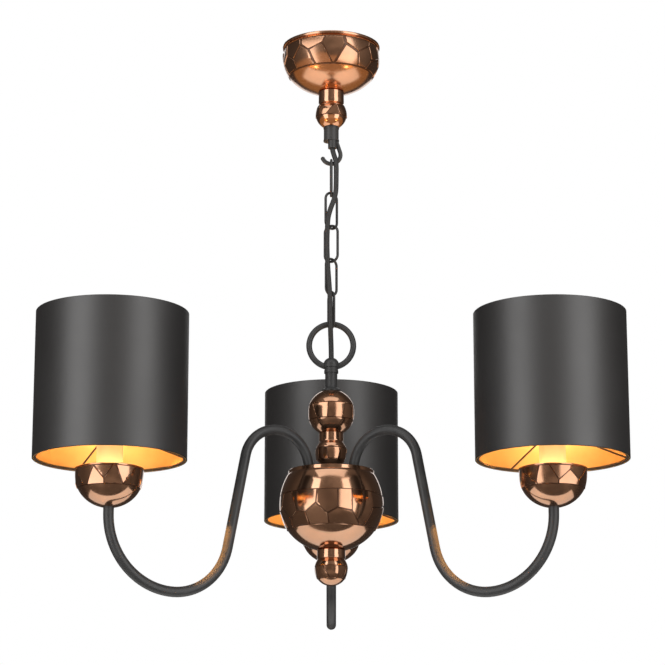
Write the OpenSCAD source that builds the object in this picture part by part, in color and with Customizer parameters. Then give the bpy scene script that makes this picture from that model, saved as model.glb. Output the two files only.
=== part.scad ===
// Three-arm pendant light on a chain: ceiling cup, hook, chain, ring, copper
// column with a bowl, swept arms, lamp cups and black drum shades.
// Millimetres, +Z up, origin on the ceiling above the centre of the cup.

/* [Ceiling bracket] */
// Length of the strap across the ceiling
bracket_l = 88; // [76:1:100]
// Width of the strap
bracket_w = 24; // [18:1:26]
// Thickness of the strap
bracket_t = 2; // [1.5:0.1:3]
// Room past the terminal block at each end of the middle plate
plate_room = 2; // [1:0.5:4]
// Drop from the ceiling to the middle plate
bracket_drop = 12; // [10:0.5:14]
// Width of the screw slots
slot_w = 4.6; // [3.6:0.1:6]
// Length of the screw slots, end to end
slot_l = 12; // [8:0.5:14]

/* [Ceiling cup] */
// Room between the corners of the strap and the wall of the groove
cup_room = 1.993; // [1:0.001:4]
// Reach of the rolled lip past the groove, against the ceiling
cup_lip_out = 2.7; // [2:0.1:5]
// Height of the rolled lip
cup_lip_h = 3; // [2:0.5:5]
// Reach of the belly past the groove
cup_belly_out = 2.6; // [2:0.1:5]
// Depth of the belly below the ceiling
cup_belly_d = 15; // [12:0.5:20]
// Height of the oval under the belly
cup_oval_h = 37; // [32:0.5:44]
// Wall of the cup
cup_wall = 1.2; // [0.8:0.1:2]

/* [Screwed tube and nuts] */
// Radius of the hollow screwed tube
tube_r = 4.9; // [4:0.1:5.5]
// Radius of the tube's bore
tube_bore = 3.2; // [3:0.1:3.5]
// Radial clearance of a thread
thread_gap = 0.08; // [0.03:0.01:0.1]
// Radial clearance of a plain hole
hole_gap = 0.3; // [0.1:0.05:0.6]
// Gap under a piece that turns on its seat
turn_gap = 0.2; // [0.1:0.05:0.3]
// Width of a nut across its flats
nut_flats = 14; // [13:0.5:16]
// Height of a nut
nut_h = 4; // [3:0.5:5]

/* [Cup knop] */
// Radius of the neck under the ceiling cup
knop_neck_r = 13.4; // [11:0.2:15]
// Height of the neck
knop_neck_h = 15; // [10:0.5:20]
// Radius of the ball under the neck
knop_ball_r = 16.5; // [16:0.5:20]

/* [Hook] */
// Radius of the collar
collar_r = 7.85; // [7.5:0.05:9]
// Height of the collar
collar_h = 15.2; // [13:0.2:20]
// How far the collar's end beads stand out
collar_bead = 0.45; // [0.2:0.05:0.8]
// Height of each end bead
collar_bead_h = 1.2; // [0.8:0.1:2]
// Radius of the cable outlet under the collar
outlet_r = 4.6; // [4.3:0.1:4.7]
// Height of the cable outlet
outlet_h = 8.6; // [6:0.2:9]
// Radius of the hook's wire
hook_wire_r = 2.2; // [1.8:0.1:2.3]
// Radius of the hook's bend, to the wire's centre
hook_bend_r = 9.7; // [9:0.1:11]
// Drop from the collar to the wire's centre under the bend
hook_drop = 24.6; // [24:0.2:28]
// Lean of the hook's shank
hook_lean = 18; // [14:1:20]
// How far the hook sweeps past its lowest point
hook_tip = 65; // [50:1:75]

/* [Chain] */
// Radius of the link's wire
link_wire_r = 1.35; // [1.1:0.05:1.5]
// Length inside a link
link_l = 36.05; // [30:0.05:40]
// Width inside a link
link_w = 11.6; // [11:0.1:13]
// Gap where two links hang in each other
link_gap = 0.25; // [0.2:0.05:0.4]

/* [Ring] */
// Radius of the ring, to the wire's centre
ring_r = 22.75; // [20:0.25:26]
// Radius of the ring's wire
ring_wire_r = 3.05; // [2.5:0.05:3.3]

/* [Ring holder] */
// Radius of the dome that the ring passes through
dome_r = 8.25; // [8:0.05:10]
// Room around the ring's wire in the dome
ring_room = 1.35; // [1.2:0.05:1.6]
// Height of the dome's centre above the ring's lowest wire
dome_rise = 1.9; // [1.5:0.1:2.5]
// Radius of the bead under the dome
bead_r = 7.3; // [6.8:0.1:8]
// Radius of the stem
stem_r = 6.3; // [6:0.1:7]
// Height from the ring's lowest wire to the flange's seat
holder_h = 25.6; // [24:0.2:34]
// Radius of the flange on the ball
flange_r = 9.9; // [8:0.1:12]
// Height of the flange
flange_h = 4.2; // [3:0.1:6]

/* [Column] */
// Radius of the upper ball
ball_r = 24.2; // [22:0.2:28]
// Radius of the hollow in the upper ball
ball_hollow_r = 20; // [16:0.5:20]
// Radius of the neck under the upper ball
neck_r = 12.5; // [10:0.5:14]
// Height of that neck
neck_h = 10.4; // [6:0.2:14]
// Radius of the knop under the neck
centre_knop_r = 16.2; // [15.5:0.1:18]
// Radius of the knop's foot on the bowl
foot_r = 9; // [7:0.5:12]
// Height of the foot
foot_h = 5.4; // [2:0.2:8]

/* [Bowl] */
// Radius of the bowl's lip
bowl_lip_r = 43.6; // [43:0.2:46]
// Height of the lip
bowl_lip_h = 2.5; // [2:0.5:4]
// Radius of the bowl's belly
bowl_belly_r = 52.7; // [52:0.2:60]
// Depth of the belly under the lip's top
bowl_belly_d = 35.5; // [30:0.5:36]
// Height of the oval above the belly, if it were whole
bowl_upper_h = 58; // [56:1:64]
// Height of the oval under the belly
bowl_lower_h = 47; // [40:0.5:56]
// Wall of the bowl
bowl_wall = 1.5; // [1:0.1:2.5]
// Thickness of the cover plate in the lip
cover_t = 3; // [2:0.2:4]
// Width of the lip around the cover plate
cover_edge = 1.4; // [1:0.1:2]
// Width of the ledge under the cover plate
cover_ledge = 2.2; // [1.5:0.1:4]

/* [Finial] */
// Radius of the neck under the bowl
finial_neck_r = 14.3; // [12:0.1:16]
// Height of the neck
finial_neck_h = 10.4; // [6:0.2:14]
// Radius of the ball
finial_ball_r = 17; // [16.5:0.1:20]

/* [Arms] */
// Radius of the arm tube
arm_r = 5.15; // [4.8:0.05:6]
// Radius of the arm's bore
arm_bore = 3.7; // [3:0.1:4]
// Radius of the screwed end of an arm
arm_end_r = 4.4; // [4.2:0.05:4.7]
// Distance from the axis to the arm in the cover plate
arm_in = 26.5; // [25:0.5:30]
// Distance from the axis to the lamps
arm_reach = 247.5; // [225:0.5:280]
// Radius of the arch over the bowl
arch_r = 36.5; // [34:0.5:40]
// Lean of the straight leg
leg_lean = 11.5; // [8:0.5:14]
// Radius of the inner half of the lower bend
bend_r = 60; // [50:0.5:66]
// Drop from the cover plate to the lowest point of the tube's centre
arm_drop = 135; // [125:0.5:150]
// Straight rise from the end of the lower bend to the lamp cup's seat
arm_rise = 6.5; // [4:0.1:20]
// Radius of the wires in the arm
wire_r = 2.2; // [1.5:0.1:2.3]

/* [Lamp cups] */
// Radius of a lamp cup
lamp_cup_r = 33.2; // [28:0.2:38]
// Height of the straight side
lamp_cup_side = 7; // [4:0.5:12]
// Height of the oval under the side
lamp_cup_oval = 31; // [26:0.5:36]
// Wall of a lamp cup
lamp_cup_wall = 1.2; // [0.8:0.1:2]
// Radius of the flat seat under a lamp cup
lamp_seat_r = 7; // [6:0.2:9]

/* [Lampholders] */
// Radius of the holder's body
holder_r = 12.9; // [12:0.1:14]
// Height of the foot that stands on the lamp cup's floor
holder_foot_h = 4; // [4:0.5:8]
// Radius of the holder's shade flange
holder_flange_r = 17; // [16.5:0.1:18]
// Thickness of the shade flange
holder_flange_t = 2; // [1.5:0.1:3]
// Radius of the screwed skirt
skirt_r = 14.2; // [13:0.1:14.5]
// Height of the skirt above the flange
skirt_h = 16; // [13:0.5:20]
// Radius of the socket for the bulb's cap
socket_r = 7.5; // [7.3:0.1:8.5]
// Wall of the ring nut that holds the shade
ring_nut_wall = 3.3; // [2.5:0.1:3.4]
// Height of the ring nut
ring_nut_h = 5; // [4:0.2:7]

/* [Shades] */
// Radius of a shade
shade_r = 75; // [70:0.5:85]
// Height of a shade
shade_h = 146; // [120:1:180]
// Thickness of the shade's cloth and board
shade_wall = 1; // [0.8:0.1:2]
// Thickness of the gold lining
lining_t = 0.4; // [0.3:0.05:0.6]
// Gap between the glued layers
layer_gap = 0.05; // [0.02:0.01:0.1]
// Height of the shade's lower edge above the lamp cup's rim
shade_lift = 9; // [4:0.5:16]
// Radius of the shade frame's wire
frame_wire_r = 1.3; // [1:0.1:1.8]
// Height of the frame's middle ring above the shade's lower edge
frame_rise = 22; // [20:0.5:34]
// Thickness of the frame's middle ring
frame_ring_t = 1.5; // [1:0.1:2.5]
// Width of the frame's middle ring
frame_ring_w = 3.6; // [3:0.1:5]

/* [Bulbs] */
// Radius of the bulb's screw cap
cap_r = 6.9; // [6.5:0.05:7]
// Length of the screw cap
cap_l = 26; // [22:0.5:30]
// Radius of the globe
globe_r = 22.5; // [18:0.5:26]
// Radius of the globe's neck
globe_neck_r = 8.6; // [7.5:0.1:10]
// Length of the neck to the globe's centre
globe_neck_l = 30; // [27:0.5:36]
// Wall of the globe
globe_wall = 0.8; // [0.5:0.1:1.5]

/* [Flex] */
// Radius of the flex beside the chain
flex_r = 2.65; // [2:0.05:2.7]

/* [Hidden] */
$fn = 72;
copper = [0.62, 0.36, 0.22];
black = [0.17, 0.17, 0.18];
steel = [0.70, 0.70, 0.72];
ivory = [0.90, 0.87, 0.80];
gold = [0.92, 0.62, 0.24];
lamp_azimuth = [210, 330, 90];
link_yaw = [92, 35, -22, 40, 114];
strut_count = 3;
strut_azimuth = 30;
strut_r = 0.9;
oval_steps = 16;
cord_sides = 12;
// How far a cut runs past a face
cut = 1;

// Terminal block and earth screw on the bracket, connector in the bowl
block_size = [10, 21, 8];
block_x = 17;
block_ways = 3;
block_wire_r = 1.4;
block_wire_z = 3;
block_screw_r = 1.5;
block_screw_in = 2.8;
block_screw_d = 2.5;
earth_x = -16;
earth_r = 1.95;
earth_l = 8;
earth_head_r = 3.6;
earth_head_h = 2.4;
earth_slot_w = 1;
earth_slot_d = 1.2;
connector_size = [20, 11, 12];
connector_ways = 3;
connector_pitch = 6;
connector_wire_r = 1.6;
connector_wire_z = 5;

// Bracket, ceiling cup and knop, downwards from the ceiling
plate_l = 2 * (block_x + block_size.x / 2 + plate_room);
bracket_foot = (bracket_l - plate_l) / 2;
cup_groove_r = norm([bracket_l, bracket_w]) / 2 + cup_room + cup_wall;
cup_lip_r = cup_groove_r + cup_lip_out;
cup_belly_r = cup_groove_r + cup_belly_out;
seat_margin = 1;
cup_seat_r = knop_neck_r + seat_margin;
cup_seat_z = -cup_belly_d - cup_oval_h * sin(acos(cup_seat_r / cup_belly_r));
knop_top_z = cup_seat_z - turn_gap;
knop_ball_z = knop_top_z - knop_neck_h - sqrt(pow(knop_ball_r, 2) - pow(knop_neck_r, 2));
collar_top_z = knop_ball_z - sqrt(pow(knop_ball_r, 2) - pow(collar_r, 2)) - turn_gap;
collar_z = collar_top_z - collar_h;
collar_socket_d = 10;
plate_z = -bracket_drop;
past_nut = 2;
tube_top_z = plate_z + nut_h + past_nut;
tube_end_z = collar_top_z - collar_socket_d;

// Cable outlet, hook and chain
outlet_at = [1.2, -3];
outlet_room = 0.35;
outlet_bore = flex_r + outlet_room;
hook_z = collar_z - hook_drop + hook_bend_r;
shank_sunk = 2;
tip_swell = 1.04;
link_bend_r = link_w / 2 + link_wire_r;
link_pitch = link_l - link_gap;
first_link_z = hook_z - hook_bend_r + hook_wire_r + link_gap;
function link_top_z(i) = first_link_z - i * link_pitch;
ring_z = link_top_z(len(link_yaw)) - (ring_r - ring_wire_r);

// Ring holder and column
ring_low_z = ring_z - ring_r;
ring_hole_r = ring_wire_r + ring_room;
ring_hole_z = ring_low_z + ring_room / 2;
dome_z = ring_low_z + dome_rise;
bead_drop = 2.5;
bead_top_z = dome_z - bead_drop;
bead_h = 5.8;
flex_socket_d = 3.5;
flange_edge_h = 1.2;
holder_z = ring_low_z - holder_h;
holder_socket_d = 14;
seat_in = 0.5;
ball_seat_r = flange_r - seat_in;
ball_z = holder_z - sqrt(pow(ball_r, 2) - pow(ball_seat_r, 2));
neck_seat_r = neck_r - seat_in;
neck_top_z = ball_z - sqrt(pow(ball_r, 2) - pow(neck_seat_r, 2));
neck_z = neck_top_z - neck_h;
centre_knop_z = neck_z - sqrt(pow(centre_knop_r, 2) - pow(neck_r, 2));
foot_top_z = centre_knop_z - sqrt(pow(centre_knop_r, 2) - pow(foot_r, 2));
cover_z = foot_top_z - foot_h;

// Bowl and finial
cover_r = bowl_lip_r - cover_edge;
ledge_z = cover_z - cover_t;
bowl_belly_z = cover_z - bowl_belly_d;
bowl_seat_r = finial_neck_r + seat_in;
belly_step = 4;
bowl_seat_z = bowl_belly_z - bowl_lower_h * sin(acos(bowl_seat_r / bowl_belly_r));
finial_top_z = bowl_seat_z - turn_gap;
finial_ball_z = finial_top_z - finial_neck_h - sqrt(pow(finial_ball_r, 2) - pow(finial_neck_r, 2));
rod_past_ball = 2;
rod_end_z = finial_ball_z - rod_past_ball;
rod_top_z = holder_z + holder_socket_d;

// Arm centreline in its own upright plane: [distance from the axis, height]
arch_c = [arm_in + arch_r, cover_z];
leg_n = [cos(leg_lean), sin(leg_lean)];
bend_low_z = cover_z - arm_drop;
bend_c = [(arch_c * leg_n + arch_r + bend_r - leg_n.y * (bend_low_z + bend_r)) / leg_n.x,
          bend_low_z + bend_r];
leg_l = norm(bend_c - bend_r * leg_n - arch_c - arch_r * leg_n);
rise_r = arm_reach - bend_c.x;
rise_z = bend_low_z + rise_r;
lamp_z = rise_z + arm_rise;
arm_end_bore = wire_r + hole_gap;
arm_end_in = cover_t + nut_h + past_nut;
arm_end_out = 15;
arm_end_sunk = 3;
arm_nut_z = ledge_z - layer_gap - nut_h;
lap = 0.5;
lap_proud = 0.02;

// Lamp cups, holders, shades and bulbs, upwards from the lamp cup's seat
lamp_belly_z = lamp_z + lamp_cup_oval * sin(acos(lamp_seat_r / lamp_cup_r));
lamp_rim_z = lamp_belly_z + lamp_cup_side;
lamp_floor_z = lamp_z + lamp_cup_wall;
holder_foot_in = 0.6;
shade_z = lamp_rim_z + shade_lift;
frame_ring_z = shade_z + frame_rise;
skirt_top_z = frame_ring_z + skirt_h;
lining_r = shade_r - shade_wall - layer_gap;
frame_r = lining_r - lining_t - layer_gap - frame_wire_r;
frame_edge = 0.4;
frame_low_z = shade_z + frame_wire_r + frame_edge;
frame_hole_r = skirt_r + hole_gap;
frame_ring_r = frame_hole_r + frame_ring_w;
strut_sunk = 0.3;
ring_nut_r = skirt_r + thread_gap + ring_nut_wall;
cap_top_z = skirt_top_z + turn_gap;
cap_z = cap_top_z - cap_l;
contact_h = 3;
socket_z = cap_z - turn_gap;
globe_z = cap_top_z + globe_neck_l;

// Route of the flex from the cable outlet to the top of the dome
flex_route = [
    [1.2, -3.0, -106], [1.2, -3.0, -114], [2.7, -4.2, -121], [4.7, -5.5, -128], [5.2, -5.8, -136],
    [5.2, -5.8, -144], [5.1, -5.9, -153], [4.7, -6.4, -162], [2.9, -7.5, -171], [-0.6, -8.4, -181],
    [-3.2, -8.8, -191], [-4.0, -8.8, -202], [-4.3, -8.8, -213], [-4.3, -8.8, -224], [-4.0, -8.8, -235],
    [-3.4, -8.8, -246], [-2.6, -8.8, -257], [-1.8, -8.8, -268], [-1.2, -8.8, -279], [-1.0, -8.8, -290],
    [-0.9, -8.7, -299], [-0.8, -7.9, -307], [-0.6, -5.8, -315], [-0.3, -3.1, -322.5], [-0.1, -1.0, -330],
    [0, -0.1, -336], [0, 0, -341.5]
];

// Points of an oval with half-axes a and c around [0, z], from angle t0 to t1
function oval(a, c, z, t0, t1) =
    [for (i = [0:oval_steps]) let (t = t0 + (t1 - t0) * i / oval_steps) [a * cos(t), z + c * sin(t)]];

// A plain tube or, with no bore, a rod standing on z
module pipe(r, bore, z, h) {
    translate([0, 0, z]) difference() {
        cylinder(r = r, h = h);
        if (bore > 0) translate([0, 0, -cut]) cylinder(r = bore, h = h + 2 * cut);
    }
}

// A wire bent round an arc about the origin, in the X-Z plane
module bent(r, bore, bend, t0, sweep) {
    rotate([90, 0, 0]) rotate_extrude(angle = sweep, start = t0)
        translate([bend, 0]) difference() {
            circle(r = r);
            if (bore > 0) circle(r = bore);
        }
}

module hex_nut(z) {
    translate([0, 0, z]) difference() {
        cylinder(r = nut_flats / 2 / cos(30), h = nut_h, $fn = 6);
        translate([0, 0, -cut]) cylinder(r = tube_r + thread_gap, h = nut_h + 2 * cut);
    }
}

// Half outline of a neck with a ball under it, cut flat at bottom_z, drilled to bore
module neck_and_ball(neck_r, top_z, ball_r, ball_z, bottom_z, bore) {
    difference() {
        union() {
            translate([0, ball_z]) square([neck_r, top_z - ball_z]);
            intersection() {
                translate([0, ball_z]) circle(r = ball_r);
                translate([0, bottom_z]) square([2 * ball_r, top_z - bottom_z]);
            }
        }
        if (bore > 0) translate([-cut, bottom_z - cut]) square([bore + cut, top_z - bottom_z + 2 * cut]);
    }
}

module at_lamp(i) {
    rotate([0, 0, lamp_azimuth[i]]) translate([arm_reach, 0, 0]) children();
}

module ceiling_bracket() {
    slot_x = (bracket_l - bracket_foot) / 2;
    through = bracket_t + 2 * cut;
    color(steel) difference() {
        union() {
            translate([-plate_l / 2, -bracket_w / 2, plate_z - bracket_t])
                cube([plate_l, bracket_w, bracket_t]);
            for (side = [0, 1]) mirror([side, 0, 0]) {
                translate([plate_l / 2, -bracket_w / 2, plate_z - bracket_t])
                    cube([bracket_t, bracket_w, bracket_drop + bracket_t]);
                translate([plate_l / 2, -bracket_w / 2, -bracket_t]) cube([bracket_foot, bracket_w, bracket_t]);
            }
        }
        translate([0, 0, plate_z - bracket_t - cut]) {
            cylinder(r = tube_r + thread_gap, h = through);
            translate([earth_x, 0, 0]) cylinder(r = earth_r + thread_gap, h = through);
        }
        for (side = [-1, 1]) translate([side * slot_x, 0, -bracket_t - cut]) {
            translate([-(slot_l - slot_w) / 2, -slot_w / 2, 0]) cube([slot_l - slot_w, slot_w, through]);
            for (end = [-1, 1]) translate([end * (slot_l - slot_w) / 2, 0, 0]) cylinder(r = slot_w / 2, h = through);
        }
    }
}

module bracket_nuts() {
    color(steel) {
        hex_nut(plate_z);
        hex_nut(plate_z - bracket_t - nut_h);
    }
}

module terminal_block() {
    way = block_size.y / block_ways;
    color(ivory) translate([block_x - block_size.x / 2, -block_size.y / 2, plate_z]) difference() {
        cube(block_size);
        for (i = [0:block_ways - 1]) translate([0, (i + 0.5) * way, 0]) {
            translate([-cut, 0, block_wire_z]) rotate([0, 90, 0])
                cylinder(r = block_wire_r, h = block_size.x + 2 * cut);
            for (x = [block_screw_in, block_size.x - block_screw_in])
                translate([x, 0, block_size.z - block_screw_d]) cylinder(r = block_screw_r, h = block_screw_d + cut);
        }
    }
}

module earth_screw() {
    color(gold) difference() {
        union() {
            translate([earth_x, 0, plate_z]) cylinder(r = earth_head_r, h = earth_head_h);
            translate([earth_x, 0, plate_z - earth_l]) cylinder(r = earth_r, h = earth_l + lap);
        }
        translate([earth_x - earth_head_r - cut, -earth_slot_w / 2, plate_z + earth_head_h - earth_slot_d])
            cube([2 * (earth_head_r + cut), earth_slot_w, earth_slot_d + cut]);
    }
}

module ceiling_cup() {
    rise = cup_belly_d - cup_lip_h;
    inner_h = cup_oval_h - cup_wall;
    floor_t = asin((-cup_seat_z - cup_wall - cup_belly_d) / inner_h);
    upper = [for (i = [0:oval_steps - 1]) let (t = 90 * i / oval_steps)
        [cup_groove_r + (cup_belly_r - cup_groove_r) * sin(t), -cup_lip_h - rise * (1 - cos(t))]];
    outside = concat([[cup_lip_r, 0], [cup_lip_r, -cup_lip_h]], upper,
        oval(cup_belly_r, cup_oval_h, -cup_belly_d, 0, -acos(cup_seat_r / cup_belly_r)));
    inside = concat(oval(cup_belly_r - cup_wall, inner_h, -cup_belly_d, -floor_t, 0),
        [[cup_groove_r - cup_wall, -cup_lip_h], [cup_groove_r - cup_wall, 0]]);
    hole = tube_r + hole_gap;
    color(copper) rotate_extrude()
        polygon(concat(outside, [[hole, cup_seat_z], [hole, cup_seat_z + cup_wall]], inside));
}

module top_tube() {
    color(steel) pipe(tube_r, tube_bore, tube_end_z, tube_top_z - tube_end_z);
}

module supply_lead() {
    color(black) pipe(flex_r, 0, tube_end_z, tube_top_z - tube_end_z);
}

module cup_knop() {
    color(copper) rotate_extrude() neck_and_ball(knop_neck_r, knop_top_z, knop_ball_r, knop_ball_z,
        collar_top_z + turn_gap, tube_r + thread_gap);
}

module hook() {
    shank_l = (collar_z + shank_sunk - hook_z - hook_bend_r * sin(hook_lean)) / cos(hook_lean);
    sweep = 90 + hook_lean + hook_tip;
    color(black) difference() {
        union() {
            translate([0, 0, collar_z]) cylinder(r = collar_r, h = collar_h);
            for (z = [collar_z, collar_top_z - collar_bead_h])
                translate([0, 0, z]) cylinder(r = collar_r + collar_bead, h = collar_bead_h);
            translate([outlet_at.x, outlet_at.y, collar_z - outlet_h])
                cylinder(r = outlet_r, h = outlet_h + lap);
            translate([0, 0, hook_z]) rotate([0, -hook_lean, 0]) {
                translate([hook_bend_r, 0, 0]) cylinder(r = hook_wire_r, h = shank_l);
                bent(hook_wire_r, 0, hook_bend_r, -sweep, sweep);
                rotate([0, sweep, 0]) translate([hook_bend_r, 0, 0]) sphere(r = hook_wire_r * tip_swell);
            }
        }
        translate([0, 0, tube_end_z]) cylinder(r = tube_r + thread_gap, h = collar_socket_d + cut);
        translate([outlet_at.x, outlet_at.y, collar_z - outlet_h - cut])
            cylinder(r = outlet_bore, h = tube_end_z - collar_z + outlet_h + 2 * cut);
    }
}

// Tube with a ring of points at each point of the route
module flex() {
    n = len(flex_route);
    ahead = [for (i = [0:n - 1]) flex_route[min(i + 1, n - 1)] - flex_route[max(i - 1, 0)]];
    points = [for (i = [0:n - 1]) let (
        d = i == 0 || i == n - 1 ? [0, 0, -1] : ahead[i] / norm(ahead[i]),
        side = cross([0, 1, 0], d) / norm(cross([0, 1, 0], d)), up = cross(d, side))
        for (k = [0:cord_sides - 1]) let (t = 360 * k / cord_sides)
            flex_route[i] + flex_r * (cos(t) * side + sin(t) * up)];
    walls = [for (i = [0:n - 2], k = [0:cord_sides - 1]) let (
        a = i * cord_sides + k, b = i * cord_sides + (k + 1) % cord_sides)
        each [[a, b, a + cord_sides], [b, b + cord_sides, a + cord_sides]]];
    first = [for (k = [1:cord_sides - 2]) [0, k + 1, k]];
    base = (n - 1) * cord_sides;
    last = [for (k = [1:cord_sides - 2]) [base, base + k, base + k + 1]];
    color(black) polyhedron(points = points, faces = [for (f = concat(walls, first, last)) [f[2], f[1], f[0]]]);
}

module link(i) {
    side_l = link_l + 2 * link_wire_r - 2 * link_bend_r;
    color(black) translate([0, 0, link_top_z(i) + link_wire_r - link_bend_r]) rotate([0, 0, link_yaw[i]]) {
        bent(link_wire_r, 0, link_bend_r, 0, 180);
        translate([0, 0, -side_l]) {
            bent(link_wire_r, 0, link_bend_r, 180, 180);
            for (side = [-1, 1]) translate([side * link_bend_r, 0, 0]) cylinder(r = link_wire_r, h = side_l);
        }
    }
}

module ring() {
    color(black) translate([0, 0, ring_z]) rotate([90, 0, 0]) rotate_extrude()
        translate([ring_r, 0]) circle(r = ring_wire_r);
}

module ring_holder() {
    color(black) difference() {
        rotate_extrude() {
            intersection() {
                translate([0, dome_z]) circle(r = dome_r);
                translate([0, dome_z]) square(2 * dome_r);
            }
            translate([0, bead_top_z]) square([dome_r, dome_z - bead_top_z]);
            translate([0, bead_top_z - bead_h]) square([bead_r, bead_h]);
            translate([0, holder_z + flange_h]) square([stem_r, bead_top_z - bead_h - holder_z - flange_h]);
            polygon([[0, holder_z], [flange_r, holder_z], [flange_r, holder_z + flange_edge_h],
                [stem_r, holder_z + flange_h], [0, holder_z + flange_h]]);
        }
        translate([0, 0, ring_hole_z]) rotate([0, 90, 0])
            cylinder(r = ring_hole_r, h = 4 * dome_r, center = true);
        translate([0, 0, dome_z + dome_r - flex_socket_d])
            cylinder(r = flex_r + hole_gap, h = 2 * flex_socket_d);
        translate([0, 0, holder_z - cut]) cylinder(r = tube_r + thread_gap, h = holder_socket_d + cut);
    }
}

module centre_tube() {
    color(steel) pipe(tube_r, tube_bore, rod_end_z, rod_top_z - rod_end_z);
}

module upper_ball() {
    color(copper) rotate_extrude() difference() {
        intersection() {
            translate([0, ball_z]) circle(r = ball_r);
            translate([tube_r + hole_gap, neck_top_z]) square([ball_r, holder_z - neck_top_z]);
        }
        translate([0, ball_z]) circle(r = ball_hollow_r);
    }
}

module centre_knop() {
    color(copper) rotate_extrude() difference() {
        union() {
            neck_and_ball(neck_r, neck_top_z, centre_knop_r, centre_knop_z, foot_top_z, 0);
            translate([0, cover_z]) square([foot_r, centre_knop_z - cover_z]);
        }
        translate([-cut, cover_z - cut]) square([tube_r + hole_gap + cut, neck_top_z - cover_z + 2 * cut]);
    }
}

module bowl_cover() {
    color(black) difference() {
        translate([0, 0, ledge_z]) cylinder(r = cover_r - layer_gap, h = cover_t);
        translate([0, 0, ledge_z - cut]) cylinder(r = tube_r + hole_gap, h = cover_t + 2 * cut);
        for (a = lamp_azimuth) rotate([0, 0, a]) translate([arm_in, 0, ledge_z - cut])
            cylinder(r = arm_end_r + thread_gap, h = cover_t + 2 * cut);
    }
}

module bowl() {
    lip_t = asin((bowl_belly_d - bowl_lip_h) / bowl_upper_h);
    ledge_low_z = ledge_z - cover_ledge;
    in_r = bowl_belly_r - bowl_wall;
    in_h = bowl_lower_h - bowl_wall;
    floor_z = bowl_seat_z + bowl_wall;
    outside = concat([[bowl_lip_r, cover_z], [bowl_lip_r, cover_z - bowl_lip_h]],
        oval(bowl_belly_r, bowl_upper_h, bowl_belly_z, lip_t, 0),
        oval(bowl_belly_r, bowl_lower_h, bowl_belly_z, -belly_step, -acos(bowl_seat_r / bowl_belly_r)));
    inside = concat(oval(in_r, in_h, bowl_belly_z, -asin((bowl_belly_z - floor_z) / in_h), -belly_step),
        oval(in_r, bowl_upper_h, bowl_belly_z, 0, asin((ledge_low_z - bowl_belly_z) / bowl_upper_h)));
    ledge_r = cover_r - cover_ledge;
    ledge = [[ledge_r, ledge_low_z], [ledge_r, ledge_z], [cover_r, ledge_z], [cover_r, cover_z]];
    hole = tube_r + hole_gap;
    color(copper) rotate_extrude()
        polygon(concat(outside, [[hole, bowl_seat_z], [hole, floor_z]], inside, ledge));
}

module arm_nuts() {
    color(steel) for (a = lamp_azimuth) rotate([0, 0, a]) translate([arm_in, 0, arm_nut_z]) difference() {
        cylinder(r = nut_flats / 2 / cos(30), h = nut_h, $fn = 6);
        translate([0, 0, -cut]) cylinder(r = arm_end_r + thread_gap, h = nut_h + 2 * cut);
    }
}

module bowl_connector() {
    color(ivory) translate([-connector_size.x / 2, -arm_in, ledge_z - connector_size.z]) difference() {
        cube(connector_size);
        for (i = [0:connector_ways - 1])
            translate([connector_size.x / 2 + (i - (connector_ways - 1) / 2) * connector_pitch, -cut, connector_wire_z])
                rotate([-90, 0, 0]) cylinder(r = connector_wire_r, h = connector_size.y + 2 * cut);
    }
}

module finial() {
    color(copper) difference() {
        rotate_extrude() neck_and_ball(finial_neck_r, finial_top_z, finial_ball_r, finial_ball_z,
            finial_ball_z - 2 * finial_ball_r, 0);
        translate([0, 0, rod_end_z - cut])
            cylinder(r = tube_r + thread_gap, h = finial_top_z - rod_end_z + 2 * cut);
    }
}

// The swept centreline from the cover plate to the lamp cup, each stretch in the frame where the last one
// ends. It starts head below the cover plate and ends tail above the lamp cup's seat. The straight
// stretches lap over the ends of the bends, so that the tube is one solid
module arm_run(r, bore, head, tail) {
    over = r + lap_proud;
    under = bore > 0 ? bore - lap_proud : 0;
    part = lap / rise_r / 4 * 180 / PI;
    translate([arch_c.x, 0, arch_c.y]) {
        if (head > 0) translate([-arch_r, 0, 0]) pipe(over, under, -head, head + lap);
        bent(r, bore, arch_r, leg_lean, 180 - leg_lean);
        rotate([0, -leg_lean, 0]) translate([arch_r, 0, -leg_l]) {
            pipe(over, under, -lap, leg_l + 2 * lap);
            translate([bend_r, 0, 0]) rotate([0, leg_lean, 0]) {
                bent(r, bore, bend_r, 180 + leg_lean, 90 - leg_lean);
                translate([0, 0, -bend_r]) rotate([0, 90, 0]) pipe(over, under, -lap, 2 * lap);
                translate([0, 0, rise_r - bend_r]) {
                    bent(r, bore, rise_r, 270 + part, 90 - part);
                    translate([rise_r, 0, 0]) pipe(over, under, -lap, arm_rise + tail + lap);
                }
            }
        }
    }
}

module arm(i) {
    color(black) rotate([0, 0, lamp_azimuth[i]]) {
        arm_run(arm_r, arm_bore, 0, 0);
        translate([arm_in, 0, cover_z - arm_end_in])
            pipe(arm_end_r, arm_end_bore, 0, arm_end_in + arm_end_sunk);
        translate([arm_reach, 0, lamp_z - arm_end_sunk])
            pipe(arm_end_r, arm_end_bore, 0, arm_end_sunk + arm_end_out);
    }
}

module arm_wiring() {
    color(gold) for (a = lamp_azimuth) rotate([0, 0, a]) arm_run(wire_r, 0, arm_end_in, arm_end_out);
}

module lamp_cup(i) {
    in_r = lamp_cup_r - lamp_cup_wall;
    in_h = lamp_cup_oval - lamp_cup_wall;
    hole = arm_end_r + thread_gap;
    color(copper) at_lamp(i) rotate_extrude() polygon(concat(
        [[lamp_cup_r, lamp_rim_z]],
        oval(lamp_cup_r, lamp_cup_oval, lamp_belly_z, 0, -acos(lamp_seat_r / lamp_cup_r)),
        [[hole, lamp_z], [hole, lamp_floor_z]],
        oval(in_r, in_h, lamp_belly_z, -asin((lamp_belly_z - lamp_floor_z) / in_h), 0),
        [[in_r, lamp_rim_z]]));
}

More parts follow.
